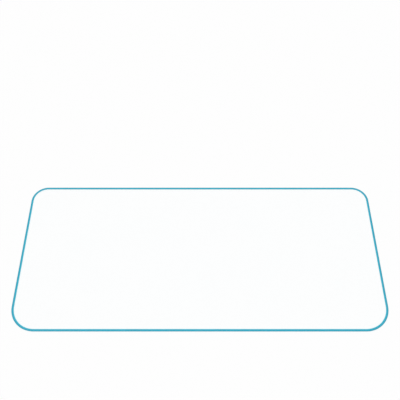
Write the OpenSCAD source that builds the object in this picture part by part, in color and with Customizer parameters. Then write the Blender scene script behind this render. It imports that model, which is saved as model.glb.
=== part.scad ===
// Tempered glass protector for a wide car display.
// The sheet lies flat on its adhesive side. X runs across the display, +Y points to
// its upper edge and +Z up through the glass. The origin is the middle of the underside.

/* [Sheet] */
// Width across the display
sheet_w = 264; // [220:1:320]
// Height from the lower edge to the upper edge
sheet_h = 117; // [90:1:140]
// Thickness of the glass
sheet_t = 0.33; // [0.3:0.01:0.5]

/* [Corners] */
// Radius of the two upper corners
upper_corner_r = 12; // [8:0.5:25]
// Radius of the two lower corners
lower_corner_r = 18; // [8:0.5:25]

/* [Edge] */
// Width of the arc-ground border, measured inwards from the outline
arc_w = 1.6; // [0.8:0.1:2.5]
// How far the arc has fallen below the face when it reaches the outline
arc_depth = 0.18; // [0.1:0.01:0.2]
// Legs of the small chamfer round the underside
under_chamfer = 0.06; // [0.03:0.01:0.08]

/* [Hidden] */
$fn = 128;

// The arc leaves the face without a step, so its radius follows from its width and depth.
arc_r = (arc_w * arc_w + arc_depth * arc_depth) / (2 * arc_depth);
// The border runs this far in under the flat face, so that the two are one solid.
face_lap = 0.1;

clear_tint = [0.88, 0.95, 0.96, 0.45];
edge_tint = [0.16, 0.60, 0.72];

// Corners go anticlockwise from the upper right one. The round of corner i starts at i
// quarter turns from +X, and the straight side after it faces i + 1 quarter turns.
quarter = 90;
corners = [0:3];
corner_radii = [upper_corner_r, upper_corner_r, lower_corner_r, lower_corner_r];
corner_signs = [[1, 1], [-1, 1], [-1, -1], [1, -1]];

function after(i) = (i + 1) % len(corner_radii);

function corner_centre(i) = [
    corner_signs[i].x * (sheet_w / 2 - corner_radii[i]),
    corner_signs[i].y * (sheet_h / 2 - corner_radii[i]),
];

// Point on the flat face's outline at corner i, seen from the corner's centre at that angle.
function face_point(i, angle) =
    corner_centre(i) + (corner_radii[i] - arc_w) * [cos(angle), sin(angle)];

// Section of the ground border. X runs outwards from where the arc leaves the face.
module edge_section() {
    difference() {
        union() {
            translate([-face_lap, 0]) square([face_lap, sheet_t]);
            intersection() {
                square([arc_w, sheet_t]);
                translate([0, sheet_t - arc_r]) circle(r = arc_r);
            }
        }
        translate([arc_w, 0]) rotate(quarter / 2)
            square(under_chamfer * sqrt(2), center = true);
    }
}

// Outline of the flat face: a polygon between the ends of the rounds, and the rounds.
module face_outline() {
    polygon([for (i = corners) for (turns = [i, i + 1]) face_point(i, quarter * turns)]);
    for (i = corners)
        translate(corner_centre(i)) circle(r = corner_radii[i] - arc_w);
}

// Flat clear middle of the sheet.
module flat_face() {
    color(clear_tint) linear_extrude(sheet_t) face_outline();
}

// Border round corner i.
module corner_border(i) {
    translate(corner_centre(i)) rotate(quarter * i)
        rotate_extrude(angle = quarter) translate([corner_radii[i] - arc_w, 0]) edge_section();
}

// Border along the straight side after corner i.
module side_border(i) {
    facing = quarter * (i + 1);
    start = face_point(after(i), facing);
    end = face_point(i, facing);
    translate(start) rotate([quarter, 0, facing])
        linear_extrude(norm(end - start)) edge_section();
}

// Arc-ground border all round the sheet.
module ground_border() {
    color(edge_tint)
        for (i = corners) {
            corner_border(i);
            side_border(i);
        }
}

module glass_sheet() {
    flat_face();
    ground_border();
}

glass_sheet();
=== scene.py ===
"""Looks of a tempered glass protector for a wide car display.

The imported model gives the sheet's place and overall size. This script replaces its plain
solid with a finer sheet of the same form, dresses it in clear glass with a blue ground
border, and sets up the camera, the floor and the light. Lengths are in metres.
"""

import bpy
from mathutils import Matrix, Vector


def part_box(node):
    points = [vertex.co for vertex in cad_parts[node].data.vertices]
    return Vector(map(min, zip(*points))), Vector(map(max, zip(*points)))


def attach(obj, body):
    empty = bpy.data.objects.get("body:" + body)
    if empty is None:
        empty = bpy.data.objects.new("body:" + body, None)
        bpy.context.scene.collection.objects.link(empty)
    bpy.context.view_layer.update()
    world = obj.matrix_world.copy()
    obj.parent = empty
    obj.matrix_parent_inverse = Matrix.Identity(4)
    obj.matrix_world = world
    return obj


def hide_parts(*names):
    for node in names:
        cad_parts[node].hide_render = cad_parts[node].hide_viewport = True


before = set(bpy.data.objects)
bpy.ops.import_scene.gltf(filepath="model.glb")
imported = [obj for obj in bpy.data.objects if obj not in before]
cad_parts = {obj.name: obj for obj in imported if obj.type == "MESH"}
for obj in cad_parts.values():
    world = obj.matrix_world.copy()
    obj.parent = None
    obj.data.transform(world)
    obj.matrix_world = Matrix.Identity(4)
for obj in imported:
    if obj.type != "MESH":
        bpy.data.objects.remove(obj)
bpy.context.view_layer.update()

import logging
import math
from dataclasses import dataclass, field
from enum import Enum

import bmesh
import bpy
from mathutils import Vector

LOG = logging.getLogger("protector")
MM = 0.001
GLASS_IOR = 1.51
Colour = tuple[float, float, float]
Span = tuple[float, float]
Socket = bpy.types.NodeSocket
WHITE: Colour = (1.0, 1.0, 1.0)
WHOLE: Span = (0.0, 1.0)
QUARTER_TURN = math.pi / 2


def grey(level: float) -> Colour:
    """Returns a grey colour of that brightness."""
    return (level, level, level)


def opaque(colour: Colour) -> tuple[float, float, float, float]:
    """Returns a colour with full alpha, as a shader's socket takes it."""
    return (*colour, 1.0)


class Zone(Enum):
    """The two parts of the sheet's surface, each with its place among the material slots."""

    CLEAR_FACE = 0
    GROUND_BORDER = 1


@dataclass(frozen=True)
class EdgeSection:
    """Section of the ground border, from the flat face down to the underside.

    Attributes:
        arc_w: Width of the arc-ground border.
        arc_depth: Fall of the arc from the face to the outline.
        under_chamfer: Legs of the chamfer round the underside.
        arc_steps: Faces across the arc.
    """

    arc_w: float = 1.6 * MM
    arc_depth: float = 0.18 * MM
    under_chamfer: float = 0.06 * MM
    arc_steps: int = 14

    @property
    def arc_radius(self) -> float:
        """Radius of an arc that leaves the face without a step."""
        return (self.arc_w**2 + self.arc_depth**2) / (2 * self.arc_depth)

    def arc_fall(self, inset: float) -> float:
        """Works out how far the arc lies below the face.

        Args:
            inset: Distance inwards from the outline.

        Returns:
            The fall, from arc_depth at the outline to 0 at the flat face.
        """
        run = self.arc_w - inset
        return self.arc_radius - math.sqrt(self.arc_radius**2 - run**2)

    def levels(self, thickness: float) -> list[Span]:
        """Lists the rings of the border as pairs of inset and height.

        Args:
            thickness: Thickness of the glass.

        Returns:
            The rings from the edge of the flat face, over the outline, to the underside
            straight below the edge of the flat face.
        """
        arc = []
        for step in range(self.arc_steps + 1):
            inset = self.arc_w * (1 - step / self.arc_steps)
            arc.append((inset, thickness - self.arc_fall(inset)))
        below = [(0.0, self.under_chamfer), (self.under_chamfer, 0.0), (self.arc_w, 0.0)]
        return arc + below


@dataclass(frozen=True)
class Corner:
    """A round of the outline.

    Attributes:
        x: Place of its centre across the display.
        y: Place of its centre towards the upper edge.
        radius: Radius of the outline there.
        start: Angle at which the round starts, going anticlockwise.
    """

    x: float
    y: float
    radius: float
    start: float

    def points(self, inset: float, height: float, steps: int) -> list[Vector]:
        """Lists the points of one ring round this corner.

        Args:
            inset: Distance inwards from the outline.
            height: Height of the ring.
            steps: Faces round the corner.

        Returns:
            The points from the start of the round to its end.
        """
        reach = self.radius - inset
        ring = []
        for step in range(steps + 1):
            angle = self.start + QUARTER_TURN * step / steps
            x = self.x + reach * math.cos(angle)
            y = self.y + reach * math.sin(angle)
            ring.append(Vector((x, y, height)))
        return ring


@dataclass(frozen=True)
class PolishMarks:
    """The faint unevenness that polishing and grinding leave, shared by both finishes.

    Attributes:
        name: Name of the node group.
        mask_detail: How many finer layers the mask's noise has.
        height_detail: How many finer layers the height's noise has.
        fineness: How much finer the height's marks are than the mask's.
        middle: Value that the mask swings about.
    """

    name: str = "Polish marks"
    mask_detail: float = 4.0
    height_detail: float = 2.0
    fineness: float = 4.0
    middle: float = 0.5

    def group(self) -> bpy.types.NodeTree:
        """Builds the node group once, or returns it if it is there.

        Returns:
            A shader node group with the inputs Size, in marks a metre, Flow, for how much
            finer the marks are through the glass than along it, and Contrast. Its outputs
            are Mask, from 0 to 1, and Height, for a bump.
        """
        found = bpy.data.node_groups.get(self.name)
        if found is not None:
            return found
        tree = bpy.data.node_groups.new(self.name, "ShaderNodeTree")
        for label in ("Size", "Flow", "Contrast"):
            socket = tree.interface.new_socket(
                label, in_out="INPUT", socket_type="NodeSocketFloat"
            )
            socket.default_value = 1.0
        for label in ("Mask", "Height"):
            tree.interface.new_socket(label, in_out="OUTPUT", socket_type="NodeSocketFloat")

        given = tree.nodes.new("NodeGroupInput")
        result = tree.nodes.new("NodeGroupOutput")
        finer = tree.nodes.new("ShaderNodeMath")
        finer.operation = "MULTIPLY"
        finer.inputs[1].default_value = self.fineness
        tree.links.new(given.outputs["Size"], finer.inputs[0])
        place = self.drawn_place(tree, given.outputs["Flow"])
        broad = self.noise(tree, place, given.outputs["Size"], self.mask_detail)
        fine = self.noise(tree, place, finer.outputs[0], self.height_detail)
        mask = self.contrasted(tree, broad, given.outputs["Contrast"])
        tree.links.new(mask, result.inputs["Mask"])
        tree.links.new(fine, result.inputs["Height"])
        return tree

    @staticmethod
    def drawn_place(tree: bpy.types.NodeTree, flow: Socket) -> Socket:
        """Draws out the object's own coordinates through the glass.

        Args:
            tree: The node group.
            flow: How much finer that makes the marks through the glass.

        Returns:
            The place at which the noises are read.
        """
        place = tree.nodes.new("ShaderNodeTexCoord")
        factors = tree.nodes.new("ShaderNodeCombineXYZ")
        factors.inputs["X"].default_value = 1.0
        factors.inputs["Y"].default_value = 1.0
        tree.links.new(flow, factors.inputs["Z"])
        drawn = tree.nodes.new("ShaderNodeVectorMath")
        drawn.operation = "MULTIPLY"
        tree.links.new(place.outputs["Object"], drawn.inputs[0])
        tree.links.new(factors.outputs["Vector"], drawn.inputs[1])
        return drawn.outputs["Vector"]

    @staticmethod
    def noise(tree: bpy.types.NodeTree, place: Socket, size: Socket, detail: float) -> Socket:
        """Adds a noise.

        Args:
            tree: The node group.
            place: Place at which the noise is read.
            size: Marks a metre.
            detail: How many finer layers the noise has.

        Returns:
            The noise.
        """
        node = tree.nodes.new("ShaderNodeTexNoise")
        node.inputs["Detail"].default_value = detail
        tree.links.new(place, node.inputs["Vector"])
        tree.links.new(size, node.inputs["Scale"])
        return node.outputs["Fac"]

    def contrasted(self, tree: bpy.types.NodeTree, source: Socket, contrast: Socket) -> Socket:
        """Spreads a noise about its middle.

        Args:
            tree: The node group.
            source: The noise.
            contrast: How far it is spread.

        Returns:
            The mask, from 0 to 1.
        """
        centred = tree.nodes.new("ShaderNodeMath")
        centred.operation = "SUBTRACT"
        centred.inputs[1].default_value = self.middle
        tree.links.new(source, centred.inputs[0])
        spread = tree.nodes.new("ShaderNodeMath")
        spread.operation = "MULTIPLY_ADD"
        spread.inputs[2].default_value = self.middle
        spread.use_clamp = True
        tree.links.new(centred.outputs[0], spread.inputs[0])
        tree.links.new(contrast, spread.inputs[1])
        return spread.outputs[0]


class FinishTree:
    """A new material with one Principled shader, and the node steps that finishes share."""

    def __init__(self, name: str) -> None:
        """Makes the material.

        Args:
            name: The material's name.
        """
        self.material = bpy.data.materials.new(name)
        self.material.use_nodes = True
        self.nodes = self.material.node_tree.nodes
        self.links = self.material.node_tree.links
        self.shader = self.nodes["Principled BSDF"]
        self.output = self.nodes["Material Output"]

    def marks(self, size: float, flow: float, contrast: float) -> bpy.types.ShaderNodeGroup:
        """Places the polish marks.

        Args:
            size: Marks a metre, along the surface.
            flow: How much finer the marks are through the glass than along it.
            contrast: How far the mask departs from a half.

        Returns:
            The group node.
        """
        node = self.nodes.new("ShaderNodeGroup")
        node.node_tree = PolishMarks().group()
        node.inputs["Size"].default_value = size
        node.inputs["Flow"].default_value = flow
        node.inputs["Contrast"].default_value = contrast
        return node

    def ranged(self, source: Socket, given: Span, wanted: Span) -> Socket:
        """Maps one range of values onto another.

        Args:
            source: Value to map.
            given: Lowest and highest value that comes in.
            wanted: The values that these two become.

        Returns:
            The mapped value.
        """
        node = self.nodes.new("ShaderNodeMapRange")
        self.links.new(source, node.inputs["Value"])
        node.inputs["From Min"].default_value, node.inputs["From Max"].default_value = given
        node.inputs["To Min"].default_value, node.inputs["To Max"].default_value = wanted
        return node.outputs["Result"]

    def blended(self, factor: Socket, first: Colour, second: Colour) -> Socket:
        """Blends two colours.

        Args:
            factor: Share of the second colour.
            first: Colour where the factor is 0.
            second: Colour where the factor is 1.

        Returns:
            The blended colour.
        """
        node = self.nodes.new("ShaderNodeMix")
        node.data_type = "RGBA"
        self.links.new(factor, node.inputs["Factor"])
        node.inputs["A"].default_value = opaque(first)
        node.inputs["B"].default_value = opaque(second)
        return node.outputs["Result"]

    def multiplied(self, first: Socket, second: Socket) -> Socket:
        """Multiplies two colours that change over the surface.

        Args:
            first: One of the colours.
            second: The other one.

        Returns:
            Their product.
        """
        node = self.nodes.new("ShaderNodeMix")
        node.data_type = "RGBA"
        node.blend_type = "MULTIPLY"
        node.inputs["Factor"].default_value = 1.0
        self.links.new(first, node.inputs["A"])
        self.links.new(second, node.inputs["B"])
        return node.outputs["Result"]

    def glass(self, colour: Socket, mask: Socket, gloss: Span) -> None:
        """Gives the shader what both finishes of the glass have.

        Args:
            colour: Colour over the surface.
            mask: How far the roughness has gone from its lowest to its highest.
            gloss: Roughness at its lowest and highest.
        """
        rough = self.ranged(mask, WHOLE, gloss)
        self.links.new(colour, self.shader.inputs["Base Color"])
        self.links.new(rough, self.shader.inputs["Roughness"])
        self.shader.inputs["IOR"].default_value = GLASS_IOR

    def pass_light(self, tint: Colour) -> None:
        """Lets lamp light and bounced light through to what the glass lies on.

        Args:
            tint: Colour that the light takes on at each face that it passes.
        """
        path = self.nodes.new("ShaderNodeLightPath")
        surface = self.shader.outputs["BSDF"]
        for ray in ("Is Shadow Ray", "Is Diffuse Ray"):
            through = self.nodes.new("ShaderNodeBsdfTransparent")
            through.inputs["Color"].default_value = opaque(tint)
            choice = self.nodes.new("ShaderNodeMixShader")
            self.links.new(path.outputs[ray], choice.inputs[0])
            self.links.new(surface, choice.inputs[1])
            self.links.new(through.outputs[0], choice.inputs[2])
            surface = choice.outputs[0]
        self.links.new(surface, self.output.inputs["Surface"])


@dataclass(frozen=True)
class ClearGlass:
    """Finish of the flat clear face and underside.

    Attributes:
        clear: Tint where the glass is clearest.
        tinted: Tint where the polish marks are strongest.
        gloss: Roughness at its lowest and highest.
        marks_a_metre: Scale of the polish marks.
        flow: How much finer the marks are through the glass than along it.
        contrast: Strength of the polish marks.
    """

    clear: Colour = (0.993, 0.9985, 1.0)
    tinted: Colour = (0.985, 0.996, 0.998)
    gloss: Span = (0.0, 0.03)
    marks_a_metre: float = 28.0
    flow: float = 1.0
    contrast: float = 2.0

    def material(self) -> bpy.types.Material:
        """Builds the finish.

        Returns:
            Clear glass, under which the floor is lit as brightly as beside it.
        """
        tree = FinishTree("clear_glass")
        marks = tree.marks(self.marks_a_metre, self.flow, self.contrast)
        tint = tree.blended(marks.outputs["Mask"], self.clear, self.tinted)
        tree.glass(tint, marks.outputs["Mask"], self.gloss)
        tree.shader.inputs["Transmission Weight"].default_value = 1.0
        tree.pass_light(WHITE)
        return tree.material


@dataclass(frozen=True)
class GroundBorder:
    """Finish of the blue arc-ground border.

    Attributes:
        outer: Colour at the outline, where the glass is thinnest; the border's blue darkened
            there as painted shade.
        inner: Colour where the arc leaves the face; the border's blue lightened there as
            painted light.
        passing: Colour that light takes on at each face that it passes.
        shade: Share of the colour that is left where the grinding bit deepest.
        gloss: Roughness at its lowest and highest.
        specular: Strength of the reflections, where 0.5 is that of polished glass.
        marks_a_metre: Scale of the grinding marks along the border.
        flow: How much finer the marks are across the arc, as the wheel leaves them.
        contrast: Strength of the grinding marks.
        bite: Depth of the grinding marks.
        bite_share: Share of that depth that shows.
    """

    outer: Colour = (0.019, 0.293, 0.423)
    inner: Colour = (0.042, 0.481, 0.642)
    passing: Colour = (0.50, 0.91, 0.98)
    shade: float = 0.82
    gloss: Span = (0.14, 0.30)
    specular: float = 0.3
    marks_a_metre: float = 160.0
    flow: float = 150.0
    contrast: float = 2.5
    bite: float = 0.004 * MM
    bite_share: float = 0.6

    def material(self, low: float, high: float) -> bpy.types.Material:
        """Builds the finish.

        Args:
            low: Height of the arc at the outline.
            high: Height of the flat face.

        Returns:
            Satin blue glass whose colour gets lighter up the arc, a painted shading that is
            darkest at the outline, and which throws a faint blue light on the floor and no grey
            shadow.
        """
        tree = FinishTree("ground_border")
        place = tree.nodes.new("ShaderNodeTexCoord")
        parts = tree.nodes.new("ShaderNodeSeparateXYZ")
        tree.links.new(place.outputs["Object"], parts.inputs[0])
        # Painted shading across the border: the blue is darkest at the outline and lightest
        # where the arc meets the face.
        up_the_arc = tree.ranged(parts.outputs["Z"], (low, high), WHOLE)
        tint = tree.blended(up_the_arc, self.outer, self.inner)

        marks = tree.marks(self.marks_a_metre, self.flow, self.contrast)
        shading = tree.blended(marks.outputs["Mask"], WHITE, grey(self.shade))
        tree.glass(tree.multiplied(tint, shading), marks.outputs["Mask"], self.gloss)
        tree.shader.inputs["Specular IOR Level"].default_value = self.specular
        bump = tree.nodes.new("ShaderNodeBump")
        bump.inputs["Distance"].default_value = self.bite
        bump.inputs["Strength"].default_value = self.bite_share
        tree.links.new(marks.outputs["Height"], bump.inputs["Height"])
        tree.links.new(bump.outputs["Normal"], tree.shader.inputs["Normal"])
        tree.pass_light(self.passing)
        return tree.material


@dataclass
class GlassSheet:
    """The protector: one sheet with a flat clear face and a ground border round it.

    Attributes:
        width: Width across the display.
        depth: Distance from the lower edge to the upper edge.
        thickness: Thickness of the glass.
        upper_corner_r: Radius of the two upper corners.
        lower_corner_r: Radius of the two lower corners.
        section: Section of the border.
        corner_steps: Faces round each corner.
        cell: Length of the faces along the straight sides, at most.
    """

    width: float
    depth: float
    thickness: float
    upper_corner_r: float = 12 * MM
    lower_corner_r: float = 18 * MM
    section: EdgeSection = field(default_factory=EdgeSection)
    corner_steps: int = 40
    cell: float = 8 * MM

    @classmethod
    def from_frame(cls, node: str) -> "GlassSheet":
        """Makes a sheet of the size of a solid in the frame.

        Args:
            node: Name of the solid.

        Returns:
            The sheet.
        """
        low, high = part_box(node)
        size = high - low
        return cls(width=size.x, depth=size.y, thickness=size.z)

    def corners(self) -> list[Corner]:
        """Lists the rounds of the outline.

        Returns:
            The four rounds, anticlockwise from the upper right one.
        """
        placed = []
        radii = [self.upper_corner_r] * 2 + [self.lower_corner_r] * 2
        signs = [(1, 1), (-1, 1), (-1, -1), (1, -1)]
        for turn, (radius, (side, end)) in enumerate(zip(radii, signs)):
            x = side * (self.width / 2 - radius)
            y = end * (self.depth / 2 - radius)
            placed.append(Corner(x, y, radius, turn * QUARTER_TURN))
        return placed

    def side_steps(self) -> tuple[int, int]:
        """Returns how many faces lie along the long sides and along the short ones."""
        return math.ceil(self.width / self.cell), math.ceil(self.depth / self.cell)

    def ring(self, inset: float, height: float) -> list[Vector]:
        """Lists the points of one ring round the sheet.

        Args:
            inset: Distance inwards from the outline.
            height: Height of the ring.

        Returns:
            The points, anticlockwise from the right end of the upper right round.
        """
        along_x, along_y = self.side_steps()
        rounds = [corner.points(inset, height, self.corner_steps) for corner in self.corners()]
        points = []
        for turn, rounded in enumerate(rounds):
            ahead = rounds[(turn + 1) % len(rounds)][0]
            steps = along_y if turn % 2 else along_x
            points += rounded
            points += [rounded[-1].lerp(ahead, step / steps) for step in range(1, steps)]
        return points

    def fill(self, ring: list[bmesh.types.BMVert], shape: bmesh.types.BMesh) -> None:
        """Fills a ring with a flat grid, a strip along each side and a fan in each round.

        Args:
            ring: The ring's vertices, in the order of ring().
            shape: Mesh that gets the faces.
        """
        along_x, along_y = self.side_steps()
        height = ring[0].co.z
        hubs = [shape.verts.new((corner.x, corner.y, height)) for corner in self.corners()]

        def row(
            start: bmesh.types.BMVert, end: bmesh.types.BMVert, steps: int
        ) -> list[bmesh.types.BMVert]:
            """Returns the vertices from start to end, with new ones between them."""
            inner = [shape.verts.new(start.co.lerp(end.co, i / steps)) for i in range(1, steps)]
            return [start, *inner, end]

        upper = row(hubs[0], hubs[1], along_x)
        left = row(hubs[1], hubs[2], along_y)
        lower = row(hubs[2], hubs[3], along_x)
        right = row(hubs[3], hubs[0], along_y)
        rows = [upper]
        for i in range(1, along_y):
            rows.append(row(right[-1 - i], left[i], along_x))
        rows.append(lower[::-1])
        for above, below in zip(rows, rows[1:]):
            for i in range(along_x):
                shape.faces.new((above[i], above[i + 1], below[i + 1], below[i]))

        place = 0
        for hub, side in zip(hubs, (upper, left, lower, right)):
            for _ in range(self.corner_steps):
                shape.faces.new((hub, ring[place], ring[place + 1]))
                place += 1
            for near, far in zip(side, side[1:]):
                ahead = ring[(place + 1) % len(ring)]
                shape.faces.new((near, ring[place], ahead, far))
                place += 1

    def mesh(self) -> bpy.types.Mesh:
        """Builds the closed mesh of the sheet, with a zone on each face.

        Returns:
            The mesh, with smooth faces on the border and sharp edges where the section
            has corners.
        """
        shape = bmesh.new()
        rings = []
        for inset, height in self.section.levels(self.thickness):
            rings.append([shape.verts.new(point) for point in self.ring(inset, height)])
        count = len(rings[0])
        for upper, lower in zip(rings, rings[1:]):
            for i in range(count):
                after = (i + 1) % count
                face = shape.faces.new((upper[i], lower[i], lower[after], upper[after]))
                face.material_index = Zone.GROUND_BORDER.value
                face.smooth = True
        self.fill(rings[0], shape)
        self.fill(rings[-1], shape)
        bmesh.ops.recalc_face_normals(shape, faces=shape.faces)
        for crease in rings[self.section.arc_steps : -1]:
            for vert, after in zip(crease, crease[1:] + crease[:1]):
                shape.edges.get((vert, after)).smooth = False
        mesh = bpy.data.meshes.new("glass_sheet_fine")
        shape.to_mesh(mesh)
        shape.free()
        return mesh

    def build(self, node: str) -> bpy.types.Object:
        """Builds and dresses the sheet in place of its plain solid.

        Args:
            node: Name of the solid that it stands for.

        Returns:
            The dressed sheet.
        """
        sheet = bpy.data.objects.new("protector_sheet", self.mesh())
        bpy.context.scene.collection.objects.link(sheet)
        low = self.thickness - self.section.arc_depth
        finishes = {
            Zone.CLEAR_FACE: ClearGlass().material(),
            Zone.GROUND_BORDER: GroundBorder().material(low, self.thickness),
        }
        for zone in Zone:
            sheet.data.materials.append(finishes[zone])
        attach(sheet, "root")
        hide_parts(node)
        faces = len(sheet.data.polygons)
        LOG.info("%s: %d faces, %.1f mm wide", sheet.name, faces, self.width / MM)
        return sheet


@dataclass(frozen=True)
class Studio:
    """A plain pale floor under soft white light.

    Attributes:
        floor_colour: Brightness of the floor.
        floor_roughness: Roughness of the floor.
        floor_side: Length of the floor's sides.
        floor_gap: How far the floor lies below the sheet, so that the two don't merge.
        backdrop: Brightness of what the camera and the glass see beyond the floor.
        fill: Strength of the light from all round.
        key: Strength of the key light on a level surface.
        key_azimuth: Direction that the key light comes from, in degrees to the left.
        key_elevation: Height of the key light, in degrees.
        key_spread: Angle that the key light fills, in degrees.
    """

    floor_colour: float = 0.99
    floor_roughness: float = 0.9
    floor_side: float = 12.0
    floor_gap: float = 0.03 * MM
    backdrop: float = 0.99
    fill: float = 0.66
    key: float = 0.34
    key_azimuth: float = 35.0
    key_elevation: float = 55.0
    key_spread: float = 60.0

    def floor(self) -> bpy.types.Object:
        """Lays the floor.

        Returns:
            The floor.
        """
        half = self.floor_side / 2
        outline = [(-half, -half), (half, -half), (half, half), (-half, half)]
        mesh = bpy.data.meshes.new("studio_floor")
        mesh.from_pydata([(x, y, -self.floor_gap) for x, y in outline], [], [(0, 1, 2, 3)])
        floor = bpy.data.objects.new("studio_floor", mesh)
        bpy.context.scene.collection.objects.link(floor)
        tree = FinishTree("floor_paint")
        tree.shader.inputs["Base Color"].default_value = opaque(grey(self.floor_colour))
        tree.shader.inputs["Roughness"].default_value = self.floor_roughness
        tree.shader.inputs["Specular IOR Level"].default_value = 0.0
        mesh.materials.append(tree.material)
        LOG.info("%s: %.0f m square", floor.name, self.floor_side)
        return floor

    def surroundings(self) -> bpy.types.World:
        """Makes the light from all round and the pale backdrop.

        Returns:
            The scene's world.
        """
        world = bpy.data.worlds.new("studio")
        world.use_nodes = True
        tree = world.node_tree
        lit = tree.nodes["Background"]
        lit.inputs["Color"].default_value = opaque(WHITE)
        lit.inputs["Strength"].default_value = self.fill
        seen = tree.nodes.new("ShaderNodeBackground")
        seen.inputs["Color"].default_value = opaque(grey(self.backdrop))
        path = tree.nodes.new("ShaderNodeLightPath")
        factor = path.outputs["Is Camera Ray"]
        for ray in ("Is Glossy Ray", "Is Transmission Ray"):
            either = tree.nodes.new("ShaderNodeMath")
            either.operation = "MAXIMUM"
            tree.links.new(factor, either.inputs[0])
            tree.links.new(path.outputs[ray], either.inputs[1])
            factor = either.outputs[0]
        choice = tree.nodes.new("ShaderNodeMixShader")
        tree.links.new(factor, choice.inputs[0])
        tree.links.new(lit.outputs[0], choice.inputs[1])
        tree.links.new(seen.outputs[0], choice.inputs[2])
        tree.links.new(choice.outputs[0], tree.nodes["World Output"].inputs["Surface"])
        bpy.context.scene.world = world
        return world

    def key_light(self) -> bpy.types.Object:
        """Hangs the soft key light.

        Returns:
            The lamp.
        """
        elevation = math.radians(self.key_elevation)
        azimuth = math.radians(self.key_azimuth)
        lamp = bpy.data.lights.new("key_light", "SUN")
        lamp.energy = self.key * math.pi / math.sin(elevation)
        lamp.angle = math.radians(self.key_spread)
        placed = bpy.data.objects.new("key_light", lamp)
        placed.rotation_euler = (QUARTER_TURN - elevation, 0.0, -azimuth)
        bpy.context.scene.collection.objects.link(placed)
        return placed

    def build(self) -> None:
        """Lays the floor, sets up the light and picks the plain view transform."""
        self.floor()
        self.surroundings()
        self.key_light()
        bpy.context.scene.view_settings.view_transform = "Standard"


@dataclass(frozen=True)
class PhotoCamera:
    """The camera, placed by how the border's middle line lies in the 400-pixel photograph.

    Attributes:
        image_side: Side of the square image.
        middle_column: Column of the sheet's middle.
        near_row: Row of the lower edge.
        far_row: Row of the upper edge.
        near_width: Width of the lower edge, between the lines of the short sides.
        meeting_row: Row where the lines of the short sides meet, above the image.
        sensor_width: Width of the camera's sensor, in millimetres.
        nearest: Distance from which the camera sees.
    """

    image_side: float = 400.0
    middle_column: float = 199.92
    near_row: float = 330.22
    far_row: float = 188.45
    near_width: float = 383.1
    meeting_row: float = -695.9
    sensor_width: float = 36.0
    nearest: float = 10 * MM

    def build(self, sheet: GlassSheet) -> bpy.types.Object:
        """Works out the lens, the tilt and the place, and makes the camera.

        Args:
            sheet: The sheet that the camera looks down on.

        Returns:
            The scene's camera.
        """
        border = sheet.section.arc_w
        line_width = sheet.width - border
        line_depth = sheet.depth - border
        middle = self.image_side / 2
        horizon_rise = middle - self.meeting_row
        narrowing = (self.near_row - self.meeting_row) / (self.far_row - self.meeting_row)
        reach = line_depth / line_width * self.near_width / (narrowing - 1)
        focal = math.sqrt(reach**2 - horizon_rise**2)
        tilt = math.atan2(horizon_rise, focal)

        distance = focal * line_width / self.near_width
        forward = Vector((0.0, math.cos(tilt), -math.sin(tilt)))
        upward = Vector((0.0, math.sin(tilt), math.cos(tilt)))
        near_line = Vector((0.0, -line_depth / 2, sheet.thickness))
        place = near_line - forward * distance
        place += upward * distance * (self.near_row - middle) / focal
        place.x += distance * (middle - self.middle_column) / focal

        lens = bpy.data.cameras.new("camera")
        lens.sensor_width = self.sensor_width
        lens.lens = self.sensor_width * focal / self.image_side
        lens.clip_start = self.nearest
        camera = bpy.data.objects.new("camera", lens)
        camera.location = place
        camera.rotation_euler = (QUARTER_TURN - tilt, 0.0, 0.0)
        bpy.context.scene.collection.objects.link(camera)
        bpy.context.scene.camera = camera
        LOG.info("camera: %.1f mm lens, %.1f degrees down", lens.lens, math.degrees(tilt))
        return camera


def main() -> None:
    """Builds the camera, the sheet and the studio."""
    logging.basicConfig(level=logging.INFO, format="%(name)s: %(message)s")
    sheet = GlassSheet.from_frame("glass_sheet")
    PhotoCamera().build(sheet)
    sheet.build("glass_sheet")
    Studio().build()


if __name__ == "__main__":
    main()
